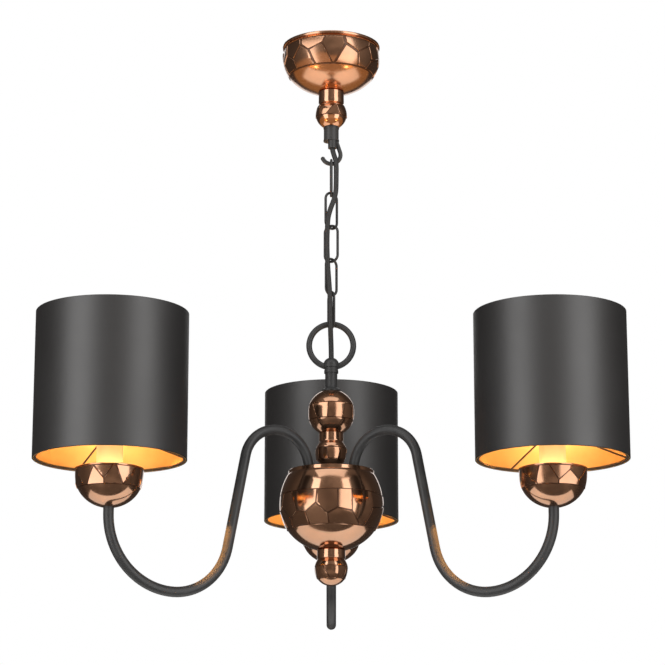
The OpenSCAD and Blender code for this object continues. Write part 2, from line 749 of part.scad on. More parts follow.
module lampholder(i) {
    body_z = lamp_floor_z + holder_foot_h;
    color(ivory) at_lamp(i) difference() {
        union() {
            translate([0, 0, lamp_floor_z])
                cylinder(r = lamp_seat_r - holder_foot_in, h = holder_foot_h + lap);
            translate([0, 0, body_z]) cylinder(r = holder_r, h = frame_ring_z - body_z - holder_flange_t / 2);
            translate([0, 0, frame_ring_z - holder_flange_t])
                cylinder(r = holder_flange_r, h = holder_flange_t);
            translate([0, 0, frame_ring_z - holder_flange_t / 2])
                cylinder(r = skirt_r, h = skirt_h + holder_flange_t / 2);
        }
        translate([0, 0, lamp_floor_z - cut]) cylinder(r = arm_end_r + thread_gap, h = arm_end_out + cut);
        translate([0, 0, socket_z]) cylinder(r = socket_r, h = skirt_top_z - socket_z + cut);
    }
}

module ring_nut(i) {
    color(ivory) at_lamp(i) pipe(ring_nut_r, skirt_r + thread_gap,
        frame_ring_z + frame_ring_t + turn_gap, ring_nut_h);
}

// Wire rings and struts inside a shade
module shade_frame(i) {
    hub_r = frame_ring_r - strut_sunk;
    drop = frame_ring_z + frame_ring_t / 2 - frame_low_z;
    run = frame_r - hub_r;
    color(steel) at_lamp(i) {
        pipe(frame_ring_r, frame_hole_r, frame_ring_z, frame_ring_t);
        translate([0, 0, frame_low_z]) {
            rotate_extrude() translate([frame_r, 0]) circle(r = frame_wire_r);
            for (k = [0:strut_count - 1]) rotate([0, 0, strut_azimuth + 360 * k / strut_count])
                translate([frame_r, 0, 0]) rotate([0, -atan2(run, drop), 0])
                    cylinder(r = strut_r, h = norm([run, drop]));
        }
    }
}

module shade(i) {
    color(black) at_lamp(i) pipe(shade_r, shade_r - shade_wall, shade_z, shade_h);
}

module lining(i) {
    color(gold) at_lamp(i) pipe(lining_r, lining_r - lining_t, shade_z, shade_h);
}

module top_ring(i) {
    color(steel) at_lamp(i) translate([0, 0, shade_z + shade_h - frame_wire_r - frame_edge])
        rotate_extrude() translate([frame_r, 0]) circle(r = frame_wire_r);
}

module bulb_cap(i) {
    color(steel) at_lamp(i) {
        translate([0, 0, cap_z + contact_h]) cylinder(r = cap_r, h = cap_l - contact_h);
        translate([0, 0, cap_z]) cylinder(r = cap_r / 2, h = contact_h + lap);
    }
}

module bulb_glass(i) {
    color("white") at_lamp(i) rotate_extrude() difference() {
        bulb_outline(globe_r, globe_neck_r);
        bulb_outline(globe_r - globe_wall, globe_neck_r - globe_wall);
    }
}

// Half outline of the globe on its neck
module bulb_outline(r, neck) {
    intersection() {
        translate([0, globe_z]) circle(r = r);
        translate([0, globe_z - 2 * r]) square([2 * r, 4 * r]);
    }
    translate([0, cap_top_z]) square([neck, globe_neck_l]);
}

ceiling_bracket();
bracket_nuts();
terminal_block();
earth_screw();
ceiling_cup();
top_tube();
supply_lead();
hook();
flex();
cup_knop();
link(0);  // link_1
link(1);  // link_2
link(2);  // link_3
link(3);  // link_4
link(4);  // link_5
ring();
ring_holder();
centre_tube();
upper_ball();
centre_knop();
bowl_cover();
bowl();
arm_nuts();
bowl_connector();
arm_wiring();
finial();
arm(0);  // arm_left
arm(1);  // arm_right
arm(2);  // arm_back
lamp_cup(0);  // lamp_cup_left
lamp_cup(1);  // lamp_cup_right
lamp_cup(2);  // lamp_cup_back
lampholder(0);  // lampholder_left
lampholder(1);  // lampholder_right
lampholder(2);  // lampholder_back
shade_frame(0);  // shade_frame_left
shade_frame(1);  // shade_frame_right
shade_frame(2);  // shade_frame_back
shade(0);  // shade_left
shade(1);  // shade_right
shade(2);  // shade_back
lining(0);  // lining_left
lining(1);  // lining_right
lining(2);  // lining_back
top_ring(0);  // top_ring_left
top_ring(1);  // top_ring_right
top_ring(2);  // top_ring_back
ring_nut(0);  // ring_nut_left
ring_nut(1);  // ring_nut_right
ring_nut(2);  // ring_nut_back
bulb_cap(0);  // bulb_cap_left
bulb_cap(1);  // bulb_cap_right
bulb_cap(2);  // bulb_cap_back
bulb_glass(0);  // bulb_glass_left
bulb_glass(1);  // bulb_glass_right
bulb_glass(2);  // bulb_glass_back
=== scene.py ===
import math
import random

import bmesh
import bpy
from mathutils import Matrix, Vector
from mathutils.kdtree import KDTree


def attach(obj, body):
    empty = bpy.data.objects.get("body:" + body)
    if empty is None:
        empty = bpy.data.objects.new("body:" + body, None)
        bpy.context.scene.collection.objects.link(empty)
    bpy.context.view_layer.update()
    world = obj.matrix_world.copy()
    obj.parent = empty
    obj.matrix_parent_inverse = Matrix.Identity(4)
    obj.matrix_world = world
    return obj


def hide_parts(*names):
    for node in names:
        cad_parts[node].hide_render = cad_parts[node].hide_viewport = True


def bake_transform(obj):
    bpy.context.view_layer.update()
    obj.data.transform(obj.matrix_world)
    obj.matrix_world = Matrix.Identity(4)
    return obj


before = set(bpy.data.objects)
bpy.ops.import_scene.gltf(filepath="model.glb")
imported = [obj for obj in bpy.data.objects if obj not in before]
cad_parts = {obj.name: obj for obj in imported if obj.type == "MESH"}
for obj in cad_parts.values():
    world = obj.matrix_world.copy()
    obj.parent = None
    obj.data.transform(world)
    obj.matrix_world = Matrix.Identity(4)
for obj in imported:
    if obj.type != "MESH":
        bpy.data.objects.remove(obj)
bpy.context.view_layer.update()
print("frame loaded,", len(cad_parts), "solids")

scene = bpy.context.scene
mm = 0.001
lampAzimuth = {"left": 210, "right": 330, "back": 90}
lampReach = 247.5 * mm
weldWithin = 0.001 * mm


def lampSpot(side):
    turn = math.radians(lampAzimuth[side])
    return Vector((lampReach * math.cos(turn), lampReach * math.sin(turn), 0))


# camera, below the lamps and looking a little up
photoView = {"back": 2.4382, "height": -0.9055, "aside": 0.0013, "tiltUp": 13.68, "lens": 131.6, "sensor": 36}


def setCamera(view):
    glass = bpy.data.cameras.new("photoCamera")
    glass.lens = view["lens"]
    glass.sensor_width = view["sensor"]
    camera = bpy.data.objects.new("photoCamera", glass)
    camera.location = (view["aside"], -view["back"], view["height"])
    camera.rotation_euler = (math.radians(90 + view["tiltUp"]), 0, 0)
    scene.collection.objects.link(camera)
    scene.camera = camera


setCamera(photoView)
print("camera set")


# flex, in seven lengths cut at the hand-over heights
flexCord = {
    "radius": 2.65, "fill": 5, "roundness": 5, "closest": 0.05,
    "route": [
        (1.2, -3.0, -106), (1.2, -3.0, -114), (2.7, -4.2, -121), (4.7, -5.5, -128), (5.2, -5.8, -136),
        (5.2, -5.8, -144), (5.1, -5.9, -153), (4.7, -6.4, -162), (2.9, -7.5, -171), (-0.6, -8.4, -181),
        (-3.2, -8.8, -191), (-4.0, -8.8, -202), (-4.3, -8.8, -213), (-4.3, -8.8, -224), (-4.0, -8.8, -235),
        (-3.4, -8.8, -246), (-2.6, -8.8, -257), (-1.8, -8.8, -268), (-1.2, -8.8, -279), (-1.0, -8.8, -290),
        (-0.9, -8.7, -299), (-0.8, -7.9, -307), (-0.6, -5.8, -315), (-0.3, -3.1, -322.5), (-0.1, -1.0, -330),
        (0, -0.1, -336), (0, 0, -341.5),
    ],
    "handOver": [-142, -175.5, -209, -242.5, -276, -309.5],
    "bodies": ["ceiling", "link_1", "link_2", "link_3", "link_4", "link_5", "ring", "fitting"],
}


def smoothRoute(points, fill):
    # extra points on a smooth curve through the route
    points = [Vector(p) * mm for p in points]
    ends = [2 * points[0] - points[1]] + points + [2 * points[-1] - points[-2]]
    curve = []
    for k in range(1, len(ends) - 2):
        a, b, c, d = ends[k - 1:k + 3]
        for step in range(fill):
            t = step / fill
            curve.append(0.5 * (2 * b + (c - a) * t + (2 * a - 5 * b + 4 * c - d) * t * t
                                + (3 * b - a - 3 * c + d) * t ** 3))
    return curve + [points[-1]]


def cutRoute(curve, heights, closest):
    # one list of points for each length, sharing the point at each hand-over
    lengths = []
    current = [curve[0]]
    waiting = [h * mm for h in heights]
    for before, after in zip(curve, curve[1:]):
        if waiting and after.z <= waiting[0]:
            share = (before.z - waiting.pop(0)) / (before.z - after.z)
            joint = before.lerp(after, share)
            lengths.append(current + [joint])
            current = [joint]
        if (after - current[-1]).length > closest * mm:
            current.append(after)
    return lengths + [current]


def tubeAlong(name, points, radius, roundness):
    line = bpy.data.curves.new(name, "CURVE")
    line.dimensions = "3D"
    line.bevel_depth = radius
    line.bevel_resolution = roundness
    line.use_fill_caps = True
    spline = line.splines.new("POLY")
    spline.points.add(len(points) - 1)
    for place, point in zip(spline.points, points):
        place.co = (*point, 1)
    former = bpy.data.objects.new(name + "Line", line)
    scene.collection.objects.link(former)
    mesh = bpy.data.meshes.new_from_object(former.evaluated_get(bpy.context.evaluated_depsgraph_get()))
    bpy.data.objects.remove(former)
    tube = bpy.data.objects.new(name, mesh)
    scene.collection.objects.link(tube)
    for face in mesh.polygons:
        face.use_smooth = True
    return tube


def hangFlex(cord):
    made = []
    curve = smoothRoute(cord["route"], cord["fill"])
    for k, points in enumerate(cutRoute(curve, cord["handOver"], cord["closest"])):
        piece = tubeAlong("flex_length_%d" % (k + 1), points, cord["radius"] * mm, cord["roundness"])
        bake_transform(piece)
        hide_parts("flex")
        made.append(piece)
    return made


flexLengths = hangFlex(flexCord)
print("flex hung in", len(flexLengths), "lengths")


# finishes
def addNode(tree, kind, **settings):
    node = tree.nodes.new(kind)
    for key, value in settings.items():
        setattr(node, key, value)
    return node


def newGroup(name, inputs, output):
    group = bpy.data.node_groups.new(name, "ShaderNodeTree")
    for label, value in inputs.items():
        socket = group.interface.new_socket(label, in_out="INPUT", socket_type="NodeSocketFloat")
        socket.default_value = value
    group.interface.new_socket(output, in_out="OUTPUT", socket_type="NodeSocketFloat")
    return group, addNode(group, "NodeGroupInput"), addNode(group, "NodeGroupOutput")


def makeCloudGroup():
    # soft patches, 0 to 1
    group, given, out = newGroup("softPatches", {"Scale": 20, "Low": 0.38, "High": 0.66}, "Mask")
    place = addNode(group, "ShaderNodeTexCoord")
    noise = addNode(group, "ShaderNodeTexNoise")
    noise.inputs["Detail"].default_value = 4
    spread = addNode(group, "ShaderNodeMapRange")
    group.links.new(place.outputs["Object"], noise.inputs["Vector"])
    group.links.new(given.outputs["Scale"], noise.inputs["Scale"])
    group.links.new(noise.outputs["Fac"], spread.inputs["Value"])
    group.links.new(given.outputs["Low"], spread.inputs["From Min"])
    group.links.new(given.outputs["High"], spread.inputs["From Max"])
    group.links.new(spread.outputs["Result"], out.inputs["Mask"])
    return group


def makeGrainGroup():
    # fine surface grain, stretched across or along the height
    group, given, out = newGroup("fineGrain", {"Scale": 900, "Across": 1, "Upright": 1}, "Height")
    place = addNode(group, "ShaderNodeTexCoord")
    pull = addNode(group, "ShaderNodeCombineXYZ")
    stretch = addNode(group, "ShaderNodeVectorMath", operation="MULTIPLY")
    noise = addNode(group, "ShaderNodeTexNoise")
    noise.inputs["Detail"].default_value = 3
    for axis in ("X", "Y"):
        group.links.new(given.outputs["Across"], pull.inputs[axis])
    group.links.new(given.outputs["Upright"], pull.inputs["Z"])
    group.links.new(place.outputs["Object"], stretch.inputs[0])
    group.links.new(pull.outputs["Vector"], stretch.inputs[1])
    group.links.new(stretch.outputs["Vector"], noise.inputs["Vector"])
    group.links.new(given.outputs["Scale"], noise.inputs["Scale"])
    group.links.new(noise.outputs["Fac"], out.inputs["Height"])
    return group


softPatches = makeCloudGroup()
fineGrain = makeGrainGroup()


def useGroup(tree, group, **values):
    node = addNode(tree, "ShaderNodeGroup", node_tree=group)
    for key, value in values.items():
        node.inputs[key].default_value = value
    return node.outputs[0]


def newFinish(name, **sockets):
    finish = bpy.data.materials.new(name)
    finish.use_nodes = True
    tree = finish.node_tree
    shader = tree.nodes["Principled BSDF"]
    for label, value in sockets.items():
        shader.inputs[label].default_value = value
    return finish, tree, shader


def mixColours(tree, factor, first, second):
    mix = addNode(tree, "ShaderNodeMix", data_type="RGBA")
    tree.links.new(factor, mix.inputs["Factor"])
    for socket, value in ((mix.inputs["A"], first), (mix.inputs["B"], second)):
        if isinstance(value, tuple):
            socket.default_value = (*value, 1)
        else:
            tree.links.new(value, socket)
    return mix.outputs["Result"]


def mapValue(tree, value, low, high):
    spread = addNode(tree, "ShaderNodeMapRange")
    spread.inputs["To Min"].default_value = low
    spread.inputs["To Max"].default_value = high
    tree.links.new(value, spread.inputs["Value"])
    return spread.outputs["Result"]


def addShare(tree, value, share, base):
    # a share of one value on top of another
    total = addNode(tree, "ShaderNodeMath", operation="MULTIPLY_ADD")
    total.inputs[1].default_value = share
    tree.links.new(value, total.inputs[0])
    tree.links.new(base, total.inputs[2])
    return total.outputs["Value"]


def addBump(tree, shader, height, strength, depth):
    bump = addNode(tree, "ShaderNodeBump")
    bump.inputs["Strength"].default_value = strength
    bump.inputs["Distance"].default_value = depth * mm
    tree.links.new(height, bump.inputs["Height"])
    tree.links.new(bump.outputs["Normal"], shader.inputs["Normal"])


plainGrainDepth = 0.05


def plainFinish(look):
    # colour in two tones over soft patches, with a grain for the surface
    finish, tree, shader = newFinish(look["name"], **look.get("sockets", {}))
    patches = useGroup(tree, softPatches, Scale=look["patchScale"])
    tree.links.new(mixColours(tree, patches, look["tone"], look["otherTone"]), shader.inputs["Base Color"])
    tree.links.new(mapValue(tree, patches, *look["roughness"]), shader.inputs["Roughness"])
    grain = useGroup(tree, fineGrain, Scale=look["grainScale"], **look.get("stretch", {}))
    addBump(tree, shader, grain, look["grainStrength"], plainGrainDepth)
    return finish


copperLook = {
    "pale": (0.70, 0.395, 0.245), "deep": (0.54, 0.275, 0.155), "seam": (0.17, 0.088, 0.053),
    "patches": {"Scale": 38, "Low": 0.36, "High": 0.7}, "tarnish": 0.45, "seamDull": 0.3,
    "grainScale": 260, "grainStrength": 0.12, "grainDepth": 0.04,
    "sockets": {"Metallic": 1, "Coat Weight": 0.35, "Coat Roughness": 0.06},
    "polished": (0.1, 0.17), "satin": (0.17, 0.22),
}


def makeCopper(look, name, roughness):
    # each tile has its own tone, and the seams are dark and dull
    finish, tree, shader = newFinish(name, **look["sockets"])
    patches = useGroup(tree, softPatches, **look["patches"])
    tone = addNode(tree, "ShaderNodeAttribute", attribute_name="tone").outputs["Fac"]
    seam = addNode(tree, "ShaderNodeAttribute", attribute_name="seam").outputs["Fac"]
    metal = mixColours(tree, addShare(tree, patches, look["tarnish"], tone), look["pale"], look["deep"])
    tree.links.new(mixColours(tree, seam, metal, look["seam"]), shader.inputs["Base Color"])
    dull = addShare(tree, seam, look["seamDull"], mapValue(tree, patches, *roughness))
    tree.links.new(dull, shader.inputs["Roughness"])
    grain = useGroup(tree, fineGrain, Scale=look["grainScale"])
    addBump(tree, shader, grain, look["grainStrength"], look["grainDepth"])
    return finish


clothLook = {
    "thread": 0.42, "waver": 0.6, "dark": (0.007, 0.007, 0.008), "light": (0.014, 0.014, 0.015),
    "patches": {"Scale": 14, "Low": 0.35, "High": 0.7}, "slubs": {"Scale": 90, "Across": 0.35, "Upright": 7},
    "slubShare": 0.8, "roughness": (0.45, 0.5), "weaveStrength": 0.1, "weaveDepth": 0.05,
    "sockets": {"Specular IOR Level": 0.8, "IOR": 1.75},
}


def makeCloth(look):
    # satin weave on the shade's own map, which is in metres
    finish, tree, shader = newFinish("charcoalSatin", **look["sockets"])
    patches = useGroup(tree, softPatches, **look["patches"])
    cross = addNode(tree, "ShaderNodeMath", operation="MULTIPLY")
    for k, direction in enumerate("XY"):
        where = addNode(tree, "ShaderNodeUVMap", uv_map="clothMap")
        wave = addNode(tree, "ShaderNodeTexWave", wave_type="BANDS", bands_direction=direction)
        wave.inputs["Scale"].default_value = math.pi / 10 / (look["thread"] * mm)
        wave.inputs["Distortion"].default_value = look["waver"]
        tree.links.new(where.outputs["UV"], wave.inputs["Vector"])
        tree.links.new(wave.outputs["Fac"], cross.inputs[k])
    weave = cross.outputs["Value"]
    threads = addShare(tree, useGroup(tree, fineGrain, **look["slubs"]), look["slubShare"], weave)
    tree.links.new(mixColours(tree, threads, look["dark"], look["light"]), shader.inputs["Base Color"])
    tree.links.new(mapValue(tree, patches, *look["roughness"]), shader.inputs["Roughness"])
    addBump(tree, shader, weave, look["weaveStrength"], look["weaveDepth"])
    return finish


bulbLook = {
    "glow": (1.0, 0.70, 0.34), "dimmer": 0.92, "glass": (0.92, 0.9, 0.86), "otherGlass": (0.86, 0.84, 0.8),
    "patches": {"Scale": 60, "Low": 0.3, "High": 0.8}, "sockets": {"Roughness": 0.4, "Emission Strength": 9},
}


def makeBulbGlass(look):
    finish, tree, shader = newFinish("frostedBulbGlass", **look["sockets"])
    patches = useGroup(tree, softPatches, **look["patches"])
    dimGlow = tuple(look["dimmer"] * c for c in look["glow"])
    tree.links.new(mixColours(tree, patches, look["glow"], dimGlow), shader.inputs["Emission Color"])
    tree.links.new(mixColours(tree, patches, look["glass"], look["otherGlass"]), shader.inputs["Base Color"])
    return finish


looks = {
    "satinBlack": {"name": "satinBlackPaint", "tone": (0.048, 0.048, 0.049),
                   "otherTone": (0.062, 0.061, 0.060), "patchScale": 55, "roughness": (0.36, 0.46),
                   "grainScale": 700, "grainStrength": 0.25},
    "flexBlack": {"name": "mattBlackFlex", "tone": (0.034, 0.034, 0.034), "otherTone": (0.045, 0.045, 0.045),
                  "patchScale": 90, "roughness": (0.5, 0.6), "grainScale": 1200, "grainStrength": 0.2},
    "gold": {"name": "brushedGoldLining", "tone": (0.86, 0.60, 0.29), "otherTone": (0.81, 0.52, 0.23),
             "patchScale": 30, "roughness": (0.36, 0.46), "grainScale": 500, "grainStrength": 0.3,
             "stretch": {"Across": 0.15, "Upright": 3}, "sockets": {"Metallic": 0.75}},
    "steel": {"name": "zincedSteel", "tone": (0.62, 0.62, 0.63), "otherTone": (0.50, 0.50, 0.52),
              "patchScale": 70, "roughness": (0.28, 0.4), "grainScale": 600, "grainStrength": 0.2,
              "sockets": {"Metallic": 1}},
    "brass": {"name": "yellowBrass", "tone": (0.80, 0.56, 0.22), "otherTone": (0.68, 0.45, 0.16),
              "patchScale": 90, "roughness": (0.25, 0.36), "grainScale": 700, "grainStrength": 0.15,
              "sockets": {"Metallic": 1}},
    "white": {"name": "whiteThermoplastic", "tone": (0.82, 0.80, 0.75), "otherTone": (0.76, 0.74, 0.68),
              "patchScale": 40, "roughness": (0.38, 0.48), "grainScale": 900, "grainStrength": 0.12},
    # a copy of the white thermoplastic, yellowed and brightened as painted warm glow from the lit bulb
    "ivory": {"name": "ivoryThermoplastic", "tone": (0.95, 0.86, 0.58), "otherTone": (0.92, 0.81, 0.52),
              "patchScale": 40, "roughness": (0.38, 0.48), "grainScale": 900, "grainStrength": 0.12},
    "wire": {"name": "wireInsulation", "tone": (0.45, 0.25, 0.09), "otherTone": (0.38, 0.20, 0.07),
             "patchScale": 60, "roughness": (0.42, 0.5), "grainScale": 900, "grainStrength": 0.1},
    "bronze": {"name": "darkBronzeWire", "tone": (0.09, 0.06, 0.04), "otherTone": (0.07, 0.045, 0.03),
               "patchScale": 70, "roughness": (0.4, 0.5), "grainScale": 600, "grainStrength": 0.2,
               "sockets": {"Specular IOR Level": 0.25}},
    # edges of the shade board, darkened almost to black as painted shade on the rim
    "board": {"name": "shadeBoardEdgePaintedShade", "tone": (0.035, 0.024, 0.016), "otherTone": (0.025, 0.018, 0.013),
              "patchScale": 120, "roughness": (0.6, 0.75), "grainScale": 1500, "grainStrength": 0.25,
              "sockets": {"Specular IOR Level": 0.12}},
}
finishes = {key: plainFinish(look) for key, look in looks.items()}
finishes["copper"] = makeCopper(copperLook, "polishedCopper", copperLook["polished"])
finishes["satinCopper"] = makeCopper(copperLook, "satinCopper", copperLook["satin"])
finishes["cloth"] = makeCloth(clothLook)
finishes["bulb"] = makeBulbGlass(bulbLook)
for piece in flexLengths:
    piece.data.materials.append(finishes["flexBlack"])
print(len(finishes), "finishes made")


# turned copper pieces, in mm
def ovalPoints(a, c, z, start, end, count):
    turns = [math.radians(start + (end - start) * k / count) for k in range(count + 1)]
    return [(a * math.cos(t), z + c * math.sin(t)) for t in turns]


def turnProfile(profile, steps, closed=True):
    bm = bmesh.new()
    ring = [bm.verts.new((r * mm, 0, z * mm)) for r, z in profile]
    edges = [bm.edges.new(pair) for pair in zip(ring, ring[1:] + ring[:1] if closed else ring[1:])]
    bmesh.ops.spin(bm, geom=ring + edges, cent=(0, 0, 0), axis=(0, 0, 1), angle=math.tau, steps=steps,
                   use_merge=True)
    bmesh.ops.remove_doubles(bm, verts=bm.verts[:], dist=weldWithin)
    bmesh.ops.recalc_face_normals(bm, faces=bm.faces[:])
    return bm


def finishMesh(bm, name, finish, crease=27):
    # smooth faces, with sharp edges left where the shape turns
    bm.normal_update()
    for face in bm.faces:
        face.smooth = True
    for line in bm.edges:
        if len(line.link_faces) == 2 and line.calc_face_angle(0) > math.radians(crease):
            line.smooth = False
    mesh = bpy.data.meshes.new(name)
    bm.to_mesh(mesh)
    bm.free()
    mesh.materials.append(finish)
    piece = bpy.data.objects.new(name, mesh)
    scene.collection.objects.link(piece)
    return piece


# tiles let into a band of the turned surface: how far their centres stray, how the seams vary, how far
# a tile may be flattened, how much of the seam is its floor, and how many tiles meet or lie nearby
tiling = {"strayRound": 0.33, "strayUpright": 0.36, "seamSpread": (0.65, 1.4), "lift": 0.9, "seamFloor": 0.55,
          "rim": 0.35, "skin": 0.6, "toneShare": 0.5, "cutWithin": 0.02, "meeting": 3, "nearby": 6}


def outsideAt(outside, z):
    # radius of the outside at a height
    for (r0, z0), (r1, z1) in zip(outside, outside[1:]):
        if z1 <= z <= z0 and z0 > z1:
            return r0 + (r1 - r0) * (z0 - z) / (z0 - z1)
    return outside[-1][0]


def plantSeeds(band, outside, draw):
    # tile centres in uneven rows round the band
    seeds = []
    high = band["top"] - band["bottom"]
    for row in range(band["rows"]):
        for column in range(band["columns"]):
            if draw.random() < band["skip"]:
                continue
            stray = draw.uniform(-tiling["strayRound"], tiling["strayRound"])
            turn = math.tau * (column + 0.5 * (row % 2) + stray) / band["columns"]
            stray = draw.uniform(-tiling["strayUpright"], tiling["strayUpright"])
            z = band["top"] - high * (row + 0.5 + stray) / band["rows"]
            r = outsideAt(outside, z)
            seeds.append(Vector((r * math.cos(turn), r * math.sin(turn), z)) * mm)
    return seeds


def growTree(seeds):
    tree = KDTree(len(seeds))
    for k, seed in enumerate(seeds):
        tree.insert(seed, k)
    tree.balance()
    return tree


def facePoints(face):
    return [v.co for v in face.verts] + [face.calc_center_median()]


def cutFaces(bm, faces, place, normal):
    lines = {e for f in faces for e in f.edges}
    corners = {v for f in faces for v in f.verts}
    made = bmesh.ops.bisect_plane(bm, geom=[*faces, *lines, *corners], dist=tiling["cutWithin"] * mm,
                                  plane_co=place, plane_no=normal)
    return {g for g in made["geom"] if isinstance(g, bmesh.types.BMFace)}


def cutBand(bm, outside, band):
    # faces between the band's two edges, with the seams along the edges cut
    top, bottom = band["top"], band["bottom"]
    edge = band["seam"] / 2
    floor = tiling["seamFloor"] * edge

    def onOutside(face):
        middle = face.calc_center_median()
        z = middle.z / mm
        r = math.hypot(middle.x, middle.y) / mm
        return bottom - 2 * edge < z < top + 2 * edge and abs(r - outsideAt(outside, z)) < tiling["skin"]

    skin = {f for f in bm.faces if onOutside(f)}
    upper = [top + tiling["rim"], top, top - floor, top - edge]
    lower = [bottom + edge, bottom + floor, bottom, bottom - tiling["rim"]]
    for z in upper + lower:
        skin |= cutFaces(bm, skin, (0, 0, z * mm), (0, 0, 1))
    return {f for f in skin if f.is_valid and bottom * mm < f.calc_center_median().z < top * mm}


def cutSeams(bm, skin, seeds, tree, band, draw):
    # the walls and floor of the seam between each two neighbours, and half of its width
    touching = [set() for _ in seeds]
    pairs = set()
    for face in skin:
        for point in facePoints(face):
            home, *others = [found[1] for found in tree.find_n(point, tiling["meeting"])]
            touching[home].add(face)
            pairs.update(tuple(sorted((home, other))) for other in others)
    halfWidths = {}
    for i, j in sorted(pairs):
        half = band["seam"] * mm / 2 * draw.uniform(*tiling["seamSpread"])
        halfWidths[i, j] = half
        across = (seeds[j] - seeds[i]).normalized()
        middle = (seeds[i] + seeds[j]) / 2
        for share in (-1, -tiling["seamFloor"], tiling["seamFloor"], 1):
            faces = {f for f in touching[i] | touching[j] if f.is_valid}
            if not faces:
                continue
            for face in cutFaces(bm, faces, middle + across * share * half, across):
                for point in facePoints(face):
                    touching[tree.find(point)[1]].add(face)
    return {f for cell in touching for f in cell if f.is_valid}, halfWidths


def faceTiles(cells, band, draw):
    # for each tile its middle, the way it faces, how much it is flattened, and its tone
    tiles = {}
    for k in sorted(cells):
        middle = sum((v.co for v in cells[k]), Vector()) / len(cells[k])
        facing = sum((v.normal for v in cells[k]), Vector()).normalized()
        lean = Vector((draw.uniform(-1, 1), draw.uniform(-1, 1), draw.uniform(-1, 1))) * band["lean"]
        facing = (facing + lean).normalized()
        reach = max(abs((middle - v.co).dot(facing)) for v in cells[k])
        tiles[k] = (middle, facing, min(band["flat"], tiling["lift"] * mm / reach), draw.random())
    return tiles


def riseAt(place, seeds, tree, halfWidths, band):
    # the tile that a place is in, and 0 on the floor of a seam to 1 on the tile
    home, *others = [found[1] for found in tree.find_n(place, tiling["nearby"])]
    rise = min(band["top"] * mm - place.z, place.z - band["bottom"] * mm) / (band["seam"] * mm / 2)
    for other in others:
        half = halfWidths.get(tuple(sorted((home, other))))
        if half:
            across = (seeds[other] - seeds[home]).normalized()
            rise = min(rise, ((seeds[home] + seeds[other]) / 2 - place).dot(across) / half)
    return home, max(0, min(1, (rise - tiling["seamFloor"]) / (1 - tiling["seamFloor"])))


def paveBand(bm, outside, band):
    # raised tiles with sunk seams between them
    draw = random.Random(band["seed"])
    seamLayer = bm.verts.layers.float.new("seam")
    toneLayer = bm.faces.layers.float.new("tone")
    seeds = plantSeeds(band, outside, draw)
    tree = growTree(seeds)
    skin, halfWidths = cutSeams(bm, cutBand(bm, outside, band), seeds, tree, band, draw)
    bm.normal_update()
    corners = {v for f in skin for v in f.verts}
    cells = {}
    for vert in corners:
        cells.setdefault(tree.find(vert.co)[1], []).append(vert)
    tiles = faceTiles(cells, band, draw)
    moves = {}
    for vert in corners:
        home, rise = riseAt(vert.co, seeds, tree, halfWidths, band)
        middle, facing, flat, tone = tiles[home]
        lift = flat * (middle - vert.co).dot(facing)
        moves[vert] = facing * lift * rise - vert.normal * band["depth"] * mm * (1 - rise)
        vert[seamLayer] = 1 - rise
    for vert, move in moves.items():
        vert.co += move
    for face in skin:
        home = tree.find(face.calc_center_median())[1]
        face[toneLayer] = tiling["toneShare"] * tiles[home][-1] if home in tiles else 0


def turnCopper(name, item, body, node, finish="copper", turn=0, spot=(0, 0, 0)):
    bm = turnProfile(item["outside"] + item["inside"], item["steps"], item.get("closed", True))
    paveBand(bm, item["outside"], item["band"])
    aim = Matrix.Rotation(math.radians(turn), 3, "Z")
    bmesh.ops.rotate(bm, verts=bm.verts[:], cent=(0, 0, 0), matrix=aim)
    bmesh.ops.translate(bm, verts=bm.verts[:], vec=spot)
    piece = finishMesh(bm, name, finishes[finish])
    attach(piece, body)
    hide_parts(node)


# profiles run down the outside, then up the inside
ceilingCup = {
    "steps": 120,
    "outside": [(50.6, 0), (51.3, -0.4), (51.5, -1.2), (51.5, -2), (51.2, -2.7), (50.4, -3), (49.0, -3.2)]
    + [(48.8 + 2.6 * math.sin(math.radians(t)), -3 - 12 * (1 - math.cos(math.radians(t))))
       for t in range(24, 90, 11)]
    + ovalPoints(51.4, 37, -15, 0, -73.73, 22),
    "inside": [(5.2, -50.52), (5.2, -49.32)] + ovalPoints(50.2, 35.8, -15, -73.4, 0, 10)
    + [(47.6, -3), (47.6, 0)],
    "band": {"top": -4.6, "bottom": -34.2, "rows": 2, "columns": 13, "skip": 0.12, "seam": 2.5,
             "depth": 0.8, "flat": 0.8, "lean": 0.07, "seed": 4},
}
cupKnop = {
    "steps": 72,
    "outside": [(5.0, -50.72), (12.4, -50.72), (13.4, -51.6), (13.4, -54), (13.4, -57), (13.4, -60),
                (13.4, -63.2), (12.9, -64.3)] + ovalPoints(16.5, 16.5, -75.346, 37, -61.6, 18),
    "inside": [(5.0, -89.86)],
    "band": {"top": -67.2, "bottom": -79.5, "rows": 1, "columns": 9, "skip": 0, "seam": 1.1,
             "depth": 0.5, "flat": 0.7, "lean": 0.09, "seed": 8},
}
upperBall = {
    "steps": 84,
    "outside": ovalPoints(24.2, 24.2, -396.759, 67.1, -60.2, 32),
    "inside": [(5.2, -417.77), (5.2, -374.46)],
    "band": {"top": -389.5, "bottom": -405.5, "rows": 1, "columns": 10, "skip": 0, "seam": 1.3,
             "depth": 0.55, "flat": 0.75, "lean": 0.08, "seed": 15},
}
centreKnop = {
    "steps": 72,
    "outside": [(5.2, -417.8), (11.6, -417.8), (12.5, -418.6), (12.5, -421), (12.5, -424), (12.5, -426.2),
                (12.0, -427.2)]
    + ovalPoints(16.2, 16.2, -438.479, 40, -56.2, 18) + [(9, -452.2), (9, -455), (8.6, -457.35)],
    "inside": [(5.2, -457.35)],
    "band": {"top": -434.5, "bottom": -446.5, "rows": 1, "columns": 9, "skip": 0, "seam": 1.1,
             "depth": 0.5, "flat": 0.7, "lean": 0.09, "seed": 23},
}
